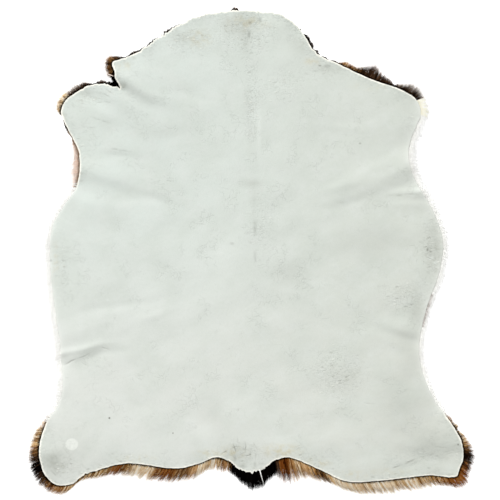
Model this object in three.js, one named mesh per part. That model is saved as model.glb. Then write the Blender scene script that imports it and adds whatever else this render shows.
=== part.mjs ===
// A deer hide rug lying hair side down: the tanned skin, with its soft folds, on the coat of hair
// that grows from it, whose locks stand out all round the skin's cut edge.
// Millimetres, +Z up, +Y towards the neck. The origin is on the floor, under the middle of the rug.

import * as THREE from "three";

// Driving dimensions
const SKIN_THICKNESS = 2;
const PILE_DEPTH = 9; // hair pressed flat under the skin
const THINNEST_PILE = 3; // hair left under the deepest fold
const EDGE_DROOP = 2.5; // how far the skin sinks towards its edge, where the hair spreads
const DROOP_SHARE = 0.84; // of the way from the spine to the edge, where the droop begins
const PIECE_GAP = 0.3; // between the skin and the coat
const UNEVENNESS = 1.2; // slow rise and fall of the whole skin
const UNEVEN_RIPPLE = { x: 74, y: 96, slantX: 310, slantY: 260 };
const TUFT_HOLLOW = 3; // depth of the hollows between tufts under the rug
const TUFT_RIPPLE = { x: 30, y: 46, slantX: 120, slantY: 75 };
const TUFT_MOST = 0.4; // of the pile's depth, which no hollow passes
const TUFT_SHARES = { from: 0.4, to: 0.95 }; // hollows lie between these shares of the way out
const FOLD_HOLD = 0.15; // of its length, over which a fold keeps its full height

// Mesh layout: rim points for each row of EDGE, and rings from the edge in to the spine
const POINTS_PER_ROW = 4;
const SPINE_SHARE = 0.27; // a rim point's y times this is its foot on the spine
const RINGS = [
  { share: 1, every: 1 },
  { share: 0.955, every: 2 },
  { share: 0.895, every: 2 },
  { share: 0.82, every: 2 },
  { share: 0.73, every: 2 },
  { share: 0.61, every: 4 },
  { share: 0.47, every: 4 },
  { share: 0.32, every: 8 },
  { share: 0.18, every: 8 },
];

// Locks of hair round the rim, each a bent spike of four sides
const LOCK_BEND = { along: 0.5, width: 0.6, height: 0.42 }; // its middle section, as shares
const LOCK_TIP_HEIGHT = 0.5;
const LOCK_LEAST = 2.5; // where hair reaches less far than this, the rim is a plain wall
const LOCK_UNEVENNESS = 0.22; // of its length
const LOCK_STRAY = 0.07; // sideways, as a share of its length
const COMB = { from: 0.45, to: 0.75 }; // facing this far backwards, hair turns to lie straight back
const LEAN = 0.35; // how far hair at the flanks leans back, as a share of its length

// The skin's cut edge, anticlockwise from the neck: x, y, and how far the hair reaches past it
const EDGE = [
  // neck
  { x: 20, y: 479, reach: 4 },
  { x: -38, y: 482, reach: 5 },
  { x: -90, y: 473, reach: 4 },
  { x: -140, y: 455, reach: 5 },
  { x: -184, y: 430, reach: 7 },
  { x: -226, y: 400, reach: 8 },
  { x: -275, y: 375, reach: 18 },
  { x: -277, y: 354, reach: 9 },
  { x: -273, y: 340, reach: 0 },
  { x: -264, y: 326, reach: 0 },
  // left shoulder, from the pleat at the neck
  { x: -278, y: 332, reach: 0 },
  { x: -292, y: 335, reach: 4 },
  { x: -326, y: 332, reach: 9 },
  { x: -352, y: 319, reach: 15 },
  { x: -374, y: 301, reach: 12 },
  { x: -382, y: 279, reach: 8 },
  { x: -364, y: 236, reach: 8 },
  { x: -348, y: 204, reach: 12 },
  { x: -344, y: 168, reach: 15 },
  { x: -353, y: 126, reach: 10 },
  // left flank
  { x: -378, y: 88, reach: 10 },
  { x: -398, y: 52, reach: 13 },
  { x: -404, y: -4, reach: 14 },
  { x: -400, y: -70, reach: 13 },
  { x: -390, y: -140, reach: 12 },
  { x: -380, y: -206, reach: 10 },
  { x: -376, y: -268, reach: 9 },
  // left hind leg
  { x: -388, y: -308, reach: 8 },
  { x: -410, y: -340, reach: 9 },
  { x: -425, y: -392, reach: 13 },
  { x: -416, y: -444, reach: 18 },
  { x: -392, y: -467, reach: 19 },
  { x: -362, y: -466, reach: 16 },
  { x: -336, y: -448, reach: 13 },
  // rump, left of the tail
  { x: -300, y: -435, reach: 15 },
  { x: -248, y: -424, reach: 22 },
  { x: -152, y: -434, reach: 27 },
  { x: -110, y: -426, reach: 24 },
  { x: -68, y: -411, reach: 28 },
  // tail stub
  { x: -43, y: -422, reach: 26 },
  { x: -20, y: -439, reach: 30 },
  { x: 14, y: -440, reach: 36 },
  { x: 48, y: -417, reach: 34 },
  // rump, right of the tail
  { x: 74, y: -412, reach: 48 },
  { x: 134, y: -436, reach: 28 },
  { x: 190, y: -460, reach: 22 },
  { x: 262, y: -458, reach: 24 },
  { x: 352, y: -448, reach: 18 },
  // right hind leg
  { x: 408, y: -449, reach: 17 },
  { x: 423, y: -416, reach: 17 },
  { x: 418, y: -378, reach: 17 },
  { x: 392, y: -334, reach: 10 },
  { x: 366, y: -298, reach: 8 },
  // right flank
  { x: 340, y: -236, reach: 11 },
  { x: 335, y: -184, reach: 13 },
  { x: 350, y: -112, reach: 13 },
  { x: 374, y: -44, reach: 13 },
  { x: 382, y: 20, reach: 12 },
  { x: 362, y: 82, reach: 14 },
  { x: 328, y: 140, reach: 15 },
  // right shoulder
  { x: 310, y: 196, reach: 14 },
  { x: 322, y: 234, reach: 10 },
  { x: 338, y: 276, reach: 14 },
  { x: 330, y: 303, reach: 19 },
  { x: 300, y: 323, reach: 16 },
  { x: 236, y: 346, reach: 24 },
  { x: 172, y: 376, reach: 10 },
  { x: 128, y: 398, reach: 6 },
  // neck
  { x: 94, y: 448, reach: 5 },
  { x: 56, y: 474, reach: 4 },
];

// Ridges (height above 0) and troughs (below 0), each from its outer end, x and y, where it is
// highest, to its inner end, where it fades out. Width is the half width at a third of the height.
const FOLDS = [
  { name: "neck pleat", x: -276, y: 366, toX: -120, toY: 300, width: 24, height: 13 },
  { name: "shoulder pleat", x: -290, y: 322, toX: -200, toY: 268, width: 22, height: 7 },
  { name: "pleat trough", x: -268, y: 330, toX: -186, toY: 292, width: 13, height: -8 },
  { name: "left waist ridge", x: -346, y: 168, toX: -146, toY: 110, width: 22, height: 7 },
  { name: "left waist trough", x: -352, y: 136, toX: -160, toY: 92, width: 15, height: -4 },
  { name: "left flank ridge", x: -362, y: 106, toX: -170, toY: 72, width: 22, height: 4 },
  { name: "left loin ridge", x: -388, y: -176, toX: -200, toY: -140, width: 26, height: 5 },
  { name: "left loin crease", x: -380, y: -220, toX: -236, toY: -180, width: 11, height: -5 },
  { name: "left hind ridge", x: -420, y: -404, toX: -290, toY: -372, width: 26, height: 5 },
  { name: "rump arch, left", x: -72, y: -414, toX: -90, toY: -330, width: 30, height: 4 },
  { name: "rump arch, right", x: 74, y: -414, toX: 66, toY: -330, width: 32, height: 4 },
  { name: "right hind ridge", x: 420, y: -372, toX: 262, toY: -400, width: 24, height: 8 },
  { name: "right hind crease", x: 422, y: -404, toX: 258, toY: -434, width: 12, height: -4 },
  { name: "right loin trough", x: 338, y: -166, toX: 236, toY: -138, width: 18, height: -4 },
  { name: "right loin ridge", x: 336, y: -204, toX: 240, toY: -188, width: 20, height: 5 },
  { name: "right flank ridge", x: 360, y: 118, toX: 250, toY: 100, width: 15, height: 4 },
  { name: "right waist ridge", x: 316, y: 172, toX: 104, toY: 108, width: 23, height: 8 },
  { name: "right waist trough", x: 326, y: 142, toX: 130, toY: 82, width: 18, height: -3 },
  { name: "spine", x: 4, y: 150, toX: 2, toY: -60, width: 11, height: -1.5 },
];

const BACKWARDS = new THREE.Vector2(0, -1);

// A number from -1 to 1 that is always the same for the same count
function scatter(count) {
  const wave = Math.sin(count * 127.1 + 11.7) * 43758.5453;
  return 2 * (wave - Math.floor(wave)) - 1;
}

// Points of the cut edge on one smooth closed curve, with the hair's reach at each
function rimPoints() {
  const rows = EDGE.map(({ x, y, reach }) => new THREE.Vector3(x, y, reach));
  const curve = new THREE.CatmullRomCurve3(rows, true, "centripetal");
  const count = EDGE.length * POINTS_PER_ROW;
  return Array.from({ length: count }, (_, i) => {
    const { x, y, z: reach } = curve.getPoint(i / count);
    return { x, y, reach };
  });
}

// How far one fold lifts the skin at a point
function foldLift(fold, x, y) {
  const along = { x: fold.toX - fold.x, y: fold.toY - fold.y };
  const lengthSquared = along.x ** 2 + along.y ** 2;
  const dot = (x - fold.x) * along.x + (y - fold.y) * along.y;
  const t = THREE.MathUtils.clamp(dot / lengthSquared, 0, 1);
  const off = Math.hypot(x - fold.x - t * along.x, y - fold.y - t * along.y);
  const fade = 1 - THREE.MathUtils.smoothstep(t, FOLD_HOLD, 1);
  return fold.height * fade * Math.exp(-((off / fold.width) ** 2));
}

// A slanting chequer of soft rises and falls, from -1 to 1
function ripple(x, y, size) {
  return Math.sin(x / size.x + y / size.slantY) * Math.sin(y / size.y - x / size.slantX);
}

// Height of the top of the coat, which the skin follows
function coatTop({ x, y, share }) {
  const droop = EDGE_DROOP * THREE.MathUtils.smoothstep(share, DROOP_SHARE, 1);
  const folds = FOLDS.reduce((sum, fold) => sum + foldLift(fold, x, y), 0);
  const rise = UNEVENNESS * ripple(x, y, UNEVEN_RIPPLE) + folds;
  return Math.max(THINNEST_PILE, PILE_DEPTH - droop + rise);
}

// Height of the coat's underside: flat on the floor but for hollows between the tufts
function coatUnder(point) {
  const { x, y, share } = point;
  if (share < TUFT_SHARES.from || share > TUFT_SHARES.to) return 0;
  const hollow = TUFT_HOLLOW * Math.max(0, ripple(x, y, TUFT_RIPPLE));
  return Math.min(hollow, TUFT_MOST * coatTop(point));
}

// The rings of points that every surface of the rug shares, and the triangles between them
function ringLayout(rim) {
  const points = [];
  const rings = RINGS.map(({ share, every }) => {
    const ring = [];
    for (let i = 0; i < rim.length; i += every) {
      const foot = SPINE_SHARE * rim[i].y;
      ring.push(points.length);
      points.push({ x: share * rim[i].x, y: foot + share * (rim[i].y - foot), share });
    }
    return ring;
  });
  const faces = [];
  for (let r = 1; r < rings.length; r += 1) faces.push(...band(rings[r - 1], rings[r]));
  faces.push(...spinePanel(points, rings.at(-1)));
  return { points, faces, rim: rings[0] };
}

// Triangles between two rings, where the inner has as many points as the outer, or half as many
function band(outer, inner) {
  const step = outer.length / inner.length;
  return inner.flatMap((here, j) => {
    const next = inner[(j + 1) % inner.length];
    const from = outer[j * step];
    const to = outer[((j + 1) * step) % outer.length];
    if (step === 1) return [[from, to, here], [to, next, here]];
    const middle = outer[j * step + 1];
    return [[from, middle, here], [middle, next, here], [middle, to, next]];
  });
}

// Triangles of the long panel inside the last ring, along the spine
function spinePanel(points, ring) {
  const outline = ring.map((i) => new THREE.Vector2(points[i].x, points[i].y));
  return THREE.ShapeUtils.triangulateShape(outline, []).map((face) => face.map((k) => ring[k]));
}

// A closed mesh from its vertices, [x, y, z] each, and its triangles
function solidMesh(name, vertices, faces, material) {
  const geometry = new THREE.BufferGeometry();
  geometry.setAttribute("position", new THREE.Float32BufferAttribute(vertices.flat(), 3));
  geometry.setIndex(faces.flat());
  geometry.computeVertexNormals();
  const mesh = new THREE.Mesh(geometry, material);
  mesh.name = name;
  return mesh;
}

// Vertices and faces of the upper and lower surfaces over the shared layout
function twoSides(layout, heightOver, heightUnder) {
  const count = layout.points.length;
  const over = layout.points.map((p) => [p.x, p.y, heightOver(p)]);
  const under = layout.points.map((p) => [p.x, p.y, heightUnder(p)]);
  const lower = layout.faces.map(([a, b, c]) => [a + count, c + count, b + count]);
  return { count, vertices: [...over, ...under], faces: [...layout.faces, ...lower] };
}

// The tanned skin: one sheet with the hide's outline, lying in its folds
function skin(layout) {
  const bottom = (p) => coatTop(p) + PIECE_GAP;
  const { count, vertices, faces } = twoSides(layout, (p) => bottom(p) + SKIN_THICKNESS, bottom);
  layout.rim.forEach((here, i) => {
    const next = layout.rim[(i + 1) % layout.rim.length];
    faces.push([here, here + count, next], [next, here + count, next + count]);
  });
  const suede = new THREE.MeshStandardMaterial({ color: 0xdae2da, roughness: 0.92, metalness: 0 });
  return solidMesh("skin", vertices, faces, suede);
}

// Where one lock points, from the edge's outward direction there
function lockDirection(from, to) {
  const along = new THREE.Vector2(to.x - from.x, to.y - from.y).normalize();
  const outward = new THREE.Vector2(along.y, -along.x);
  const comb = THREE.MathUtils.smoothstep(outward.dot(BACKWARDS), COMB.from, COMB.to);
  const direction = outward.clone().multiplyScalar(1 - comb).addScaledVector(BACKWARDS, comb);
  return direction.normalize().addScaledVector(along, LEAN * along.dot(BACKWARDS));
}

// The coat of hair: a slab with tufts beneath, and one lock on each stretch of its rim
function coat(layout, rim) {
  const { count, vertices, faces } = twoSides(layout, coatTop, coatUnder);
  layout.rim.forEach((here, i) => {
    const next = layout.rim[(i + 1) % layout.rim.length];
    const root = [here, here + count, next + count, next];
    const length = rim[i].reach * (1 + LOCK_UNEVENNESS * scatter(i));
    if (length < LOCK_LEAST) {
      faces.push([root[0], root[1], root[3]], [root[3], root[1], root[2]]);
      return;
    }
    const stray = LOCK_STRAY * scatter(i + 0.5) * length;
    addLock(vertices, faces, root, lockDirection(rim[i], rim[(i + 1) % rim.length]), length, stray);
  });
  const hair = new THREE.MeshStandardMaterial({ color: 0x8a6238, roughness: 0.75, metalness: 0 });
  return solidMesh("coat", vertices, faces, hair);
}

// One spike of four sides: its root is a panel of the rim, and its middle and tip lie out on the floor
function addLock(vertices, faces, root, direction, length, stray) {
  const corners = root.map((i) => vertices[i]);
  const middleOf = (axis) => corners.reduce((sum, corner) => sum + corner[axis], 0) / corners.length;
  const centre = new THREE.Vector2(middleOf(0), middleOf(1));
  const sideways = new THREE.Vector2(-direction.y, direction.x);
  const place = (share) =>
    centre.clone().addScaledVector(direction, share * length).addScaledVector(sideways, share ** 2 * stray);
  const bend = place(LOCK_BEND.along);
  const first = vertices.length;
  corners.forEach(([x, y, z]) => {
    const wide = new THREE.Vector2(x, y).sub(centre).multiplyScalar(LOCK_BEND.width).add(bend);
    vertices.push([wide.x, wide.y, z * LOCK_BEND.height]);
  });
  const tip = place(1);
  vertices.push([tip.x, tip.y, LOCK_TIP_HEIGHT]);
  const section = [first, first + 1, first + 2, first + 3];
  root.forEach((here, k) => {
    const turn = (k + 1) % root.length;
    faces.push([here, root[turn], section[k]], [root[turn], section[turn], section[k]]);
    faces.push([section[k], section[turn], first + root.length]);
  });
}

const rim = rimPoints();
const layout = ringLayout(rim);
const hideRug = new THREE.Group();
hideRug.name = "deer_hide_rug";
hideRug.add(skin(layout), coat(layout, rim));

export default hideRug;
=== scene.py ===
import math
from collections import namedtuple

import bpy
import numpy as np
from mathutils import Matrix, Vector, geometry, kdtree
from mathutils.bvhtree import BVHTree


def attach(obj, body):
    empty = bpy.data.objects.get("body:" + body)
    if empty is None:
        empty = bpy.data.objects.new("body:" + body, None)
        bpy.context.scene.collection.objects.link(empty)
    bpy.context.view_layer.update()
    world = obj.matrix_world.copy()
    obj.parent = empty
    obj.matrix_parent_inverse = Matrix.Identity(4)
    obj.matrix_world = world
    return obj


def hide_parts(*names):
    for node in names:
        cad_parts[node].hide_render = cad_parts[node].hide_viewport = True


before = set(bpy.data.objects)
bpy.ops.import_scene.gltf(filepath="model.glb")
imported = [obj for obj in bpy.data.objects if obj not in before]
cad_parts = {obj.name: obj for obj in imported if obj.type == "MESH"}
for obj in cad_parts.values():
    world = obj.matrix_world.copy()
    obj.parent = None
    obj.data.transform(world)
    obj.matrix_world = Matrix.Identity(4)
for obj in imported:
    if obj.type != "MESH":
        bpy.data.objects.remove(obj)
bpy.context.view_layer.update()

# A deer hide rug that lies hair side down. Sizes are in millimetres until a mesh is made.
MM = 0.001
SEED = 20

# The skin
SKIN_THICKNESS = 1.8
SKIN_GRAIN = 3.2  # spacing of the points of its upper side
SKIN_UNDER_GRAIN = 14.0  # and of its under side
RIM_STEPS = 6  # points of the cut edge for each one of the solid's
FOLD_SOFTENING = 5.0  # how far the solid's facets are smoothed
HEIGHT_GRID = 4.0
EDGE_CURL = 1.3  # rise and fall of the cut edge
EDGE_CURL_DEPTH = 14.0  # how far in from the edge it reaches
GRID_CLEAR = 2.4  # how far the points of its upper side keep off the edge
UNDER_GRID_CLEAR = 8.0  # and those of its under side
CUT_CREAM_AND_HIGHLIGHT_WIDTH = (0.8, 3.4)  # the cream of the cut edge, partly a painted highlight where it catches light, fades over this distance
ROUGH_EDGE = 12.0  # how far in the suede is rougher
WHITE_EDGE = (5.0, 0.22)  # how far in it is whiter beside white hair, and how much
FULL_WRINKLE_SHADE = 0.6  # a wrinkle of this depth has its full painted shade
LEAST_COAT = 2.2  # hair that is always left between the skin and the floor

# The rounded cut edge from the top down: inset, share of the thickness
CUT_PROFILE = [(0.7, 0.0), (0.2, 0.12), (0.0, 0.4), (0.05, 0.75), (0.5, 1.0)]

# The slot between the two sides of the pleat at the neck: from its mouth to its end, how far each side
# stands off it, and how far along the sides that is felt
Slot = namedtuple("Slot", "start end open reach")
SLOT = Slot((-283, 344), (-267, 322), 3.6, 9.0)

# Where the cut edge stands a little off the solid's: place, how far it is moved, and how far that is felt
Nudge = namedtuple("Nudge", "x y dx dy reach")
NUDGES = [Nudge(*row) for row in [
    (-271, 375, -5, 2.5, 7), (-110, 466, -1.2, 2.8, 44), (-278, 356, 3.6, 0, 9), (30, 479, 0, 1.6, 60),
    (-333, -449, 0, 4, 4), (421, -433, -2.6, 0, 12), (410, -451, 1.6, -1.2, 6), (-376, -236, -4, 0, 40),
    (308, 200, 3, 0, 24),
]]

# Creases of the skin, finer than the solid's folds, and where it lies flatter than they do: points, half
# width, height by how strongly the crease shows, and which ends fade
FAINT, SOFT, FIRM, DEEP = 1.0, 1.5, 3.0, 6.0
Crease = namedtuple("Crease", "points width height fades")
CREASES = [Crease(*row) for row in [
    ([(-274, 352), (-240, 332), (-200, 310), (-130, 292)], 14, DEEP, "inner"),
    ([(-276, 366), (-198, 333), (-120, 300)], 24, -DEEP, "inner"),
    ([(-290, 322), (-245, 295), (-200, 268)], 22, -SOFT, "inner"),
    ([(-268, 330), (-227, 311), (-186, 292)], 13, FIRM, "inner"),
    ([(-160, 330), (-120, 312), (-60, 290)], 10, -FAINT, "both"),
    ([(-344, 318), (-300, 300), (-250, 283)], 12, -FIRM, "inner"),
    ([(-320, 282), (-270, 262), (-210, 244)], 12, FAINT, "both"),
    ([(-310, 195), (-250, 190), (-180, 176)], 8, -SOFT, "both"),
    ([(-346, 168), (-246, 139), (-146, 110)], 22, -FAINT, "inner"),
    ([(-362, 106), (-266, 89), (-170, 72)], 22, -SOFT, "inner"),
    ([(-230, 118), (-170, 96), (-110, 76)], 10, -SOFT, "both"),
    ([(316, 172), (210, 140), (104, 108)], 23, -FAINT, "inner"),
    ([(326, 142), (228, 112), (130, 82)], 18, SOFT, "inner"),
    ([(240, 146), (170, 128), (80, 108)], 9, FAINT, "both"),
    ([(250, 110), (180, 92), (100, 78)], 9, -FAINT, "both"),
    ([(356, 122), (300, 119), (250, 114)], 6, SOFT, "inner"),
    ([(356, 104), (300, 104), (250, 100)], 7, -SOFT, "inner"),
    ([(250, 240), (190, 246), (110, 254)], 9, FAINT, "both"),
    ([(-386, -205), (-340, -196), (-300, -184), (-240, -180)], 7, FIRM, "inner"),
    ([(-386, -226), (-340, -216), (-300, -203), (-240, -198), (-180, -200)], 7, -FAINT, "inner"),
    ([(-388, -176), (-294, -158), (-200, -140)], 26, -FAINT, "inner"),
    ([(-380, -220), (-308, -200), (-236, -180)], 11, SOFT, "inner"),
    ([(-240, -140), (-190, -127), (-140, -108)], 8, FAINT, "both"),
    ([(-380, -126), (-300, -113), (-250, -108), (-200, -102), (-110, -66)], 9, -FAINT, "both"),
    ([(342, -184), (290, -168), (200, -140)], 10, -SOFT, "inner"),
    ([(338, -166), (287, -152), (236, -138)], 18, FIRM, "inner"),
    ([(336, -204), (288, -196), (240, -188)], 20, -FIRM, "inner"),
    ([(350, -418), (310, -430), (270, -442)], 6, -FAINT, "both"),
    ([(420, -372), (341, -386), (262, -400)], 24, -FIRM, "inner"),
    ([(350, -356), (300, -366), (240, -372)], 14, -FAINT, "both"),
    ([(-4, 310), (0, 250), (2, 190)], 5, -FAINT, "both"),
    ([(-72, -414), (-81, -372), (-90, -330)], 30, -SOFT, "inner"),
    ([(74, -414), (70, -372), (66, -330)], 32, -FAINT, "inner"),
]]

# Fine wrinkles and scratches: from, to, half width, depth
Stroke = namedtuple("Stroke", "x y to_x to_y half depth")
STROKES = [Stroke(*row) for row in [
    (266, -437, 308, -426, 2.4, 0.6), (302, -428, 332, -414, 2.8, 0.7),
    (328, -415, 366, -405, 2.2, 0.4), (360, -391, 394, -393, 1.8, 0.4),
    (364, -401, 406, -399, 2.0, 0.4), (384, -407, 426, -398, 1.8, 0.4),
    (396, -392, 430, -388, 1.8, 0.4), (360, -411, 388, -412, 1.6, 0.3),
    (374, -383, 418, -381, 1.8, 0.3), (-314, 320, -278, 306, 2.4, 0.5),
    (-326, 301, -276, 296, 2.0, 0.4), (-328, 270, -278, 255, 2.4, 0.6),
    (-302, 331, -270, 311, 2.0, 0.4), (-342, 250, -304, 246, 2.0, 0.3),
    (-296, 206, -226, 198, 2.6, 0.4), (-10, 342, 4, 298, 1.8, 0.3), (4, 306, 2, 248, 2.0, 0.35),
    (-14, 320, -2, 284, 1.7, 0.3), (6, 264, 4, 212, 1.8, 0.3), (-26, 354, -10, 320, 1.7, 0.3),
    (5, 68, 6, 26, 3.0, 0.3), (344, 4, 352, 12, 1.6, 0.8), (352, 12, 358, 2, 1.6, 0.7),
    (346, -10, 366, -20, 1.7, 0.7), (360, -16, 376, -30, 1.7, 0.7), (350, -34, 360, -28, 1.6, 0.6),
    (362, -40, 370, -31, 1.6, 0.6), (16, 472, 6, 450, 2.0, 0.3), (-2, 448, -6, 424, 2.4, 0.3),
    (-20, 464, -14, 442, 1.7, 0.3), (30, 464, 22, 446, 1.6, 0.3), (-40, -383, -30, -407, 1.7, 0.9),
    (-28, -370, -24, -400, 1.7, 0.8), (-14, -378, -12, -406, 1.7, 0.9), (0, -390, -4, -416, 1.7, 0.9),
    (10, -398, 6, -422, 1.6, 0.8), (-54, -397, -38, -413, 1.7, 0.8), (-46, -396, -20, -389, 1.6, 0.6),
    (-22, -411, 8, -404, 1.6, 0.6), (2, -382, 14, -402, 1.7, 0.7), (-64, -405, -48, -397, 1.6, 0.6),
    (-404, -436, -390, -452, 1.7, 0.7), (-398, -430, -384, -444, 1.6, 0.6),
    (60, 350, 40, 330, 1.8, 0.3), (258, 112, 342, 114, 2.4, 0.4), (220, -300, 250, -308, 1.8, 0.3),
    (-382, -228, -344, -213, 2.0, 0.7), (-352, -217, -316, -200, 1.9, 0.6),
    (-304, -190, -282, -199, 1.7, 0.5), (-342, -222, -324, -229, 1.6, 0.5),
]]
STROKE_GRAIN = 1.5  # spacing of the sheet's points along a fine wrinkle
STROKE_ROWS = (-1.6, -1.0, -0.5, 0.0, 0.5, 1.0, 1.6)  # rows of points across it, in half widths
STROKE_WAVER = 1.0

# Slow and quick unevenness of the skin: wave lengths from and to, height
SKIN_WAVES = [(60, 140, 0.45), (24, 60, 0.1), (9, 18, 0.03)]

# Hair: shades of one kind's locks from dark to pale, the root, dark with painted shadow from the cut edge,
# the tip, the share of the length where the tip begins, hairs in a centimetre of edge, and how thick one is
Hair = namedtuple("Hair", "shades root tip fade dense radius")
HAIRS = {
    "fawn": Hair([(84, 50, 20), (158, 110, 54), (204, 158, 96), (236, 204, 150), (250, 236, 206)],
                 (28, 16, 7), (242, 218, 176), 0.7, 135, 0.28),
    "oat": Hair([(156, 118, 72), (216, 183, 134), (243, 223, 188), (254, 247, 232)],
                (38, 25, 13), (248, 233, 203), 0.7, 135, 0.28),
    "ginger": Hair([(80, 40, 12), (138, 86, 38), (184, 134, 78), (224, 190, 142)],
                   (30, 14, 5), (228, 190, 144), 0.7, 140, 0.28),
    "rust": Hair([(62, 24, 5), (108, 55, 16), (150, 86, 34), (186, 126, 66)],
                 (6, 3, 1), (196, 146, 98), 0.78, 145, 0.28),
    "black": Hair([(3, 2, 2), (5, 3, 3), (12, 8, 6)],
                  (2, 1, 1), (24, 18, 15), 0.8, 220, 0.34),
    "umber": Hair([(12, 6, 3), (30, 17, 10), (58, 38, 24), (108, 80, 58)],
                  (4, 2, 1), (190, 164, 142), 0.72, 150, 0.28),
    "smoke": Hair([(24, 15, 9), (58, 41, 28), (104, 82, 62)],
                  (4, 2, 1), (240, 231, 220), 0.46, 110, 0.28),
    "brown": Hair([(38, 22, 11), (84, 53, 28), (126, 88, 50), (168, 128, 82)],
                  (12, 7, 4), (218, 188, 150), 0.7, 145, 0.28),
    "buff": Hair([(247, 222, 204), (252, 233, 219), (253, 242, 233)],
                 (162, 136, 112), (253, 248, 243), 0.6, 130, 0.22),
    "cream": Hair([(248, 246, 230), (251, 250, 238), (253, 252, 246)],
                  (244, 241, 224), (254, 253, 248), 0.6, 130, 0.17),
    "white": Hair([(236, 236, 232), (243, 243, 239), (249, 249, 247)],
                  (243, 243, 239), (252, 252, 251), 0.3, 66, 0.2),
}
# White hair whose root colour is a painted shadow line along the cut edge
HAIRS["white_shadow_root"] = HAIRS["white"]._replace(root=(198, 192, 186))
PALE_KINDS = ("white", "white_shadow_root", "cream")

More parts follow.
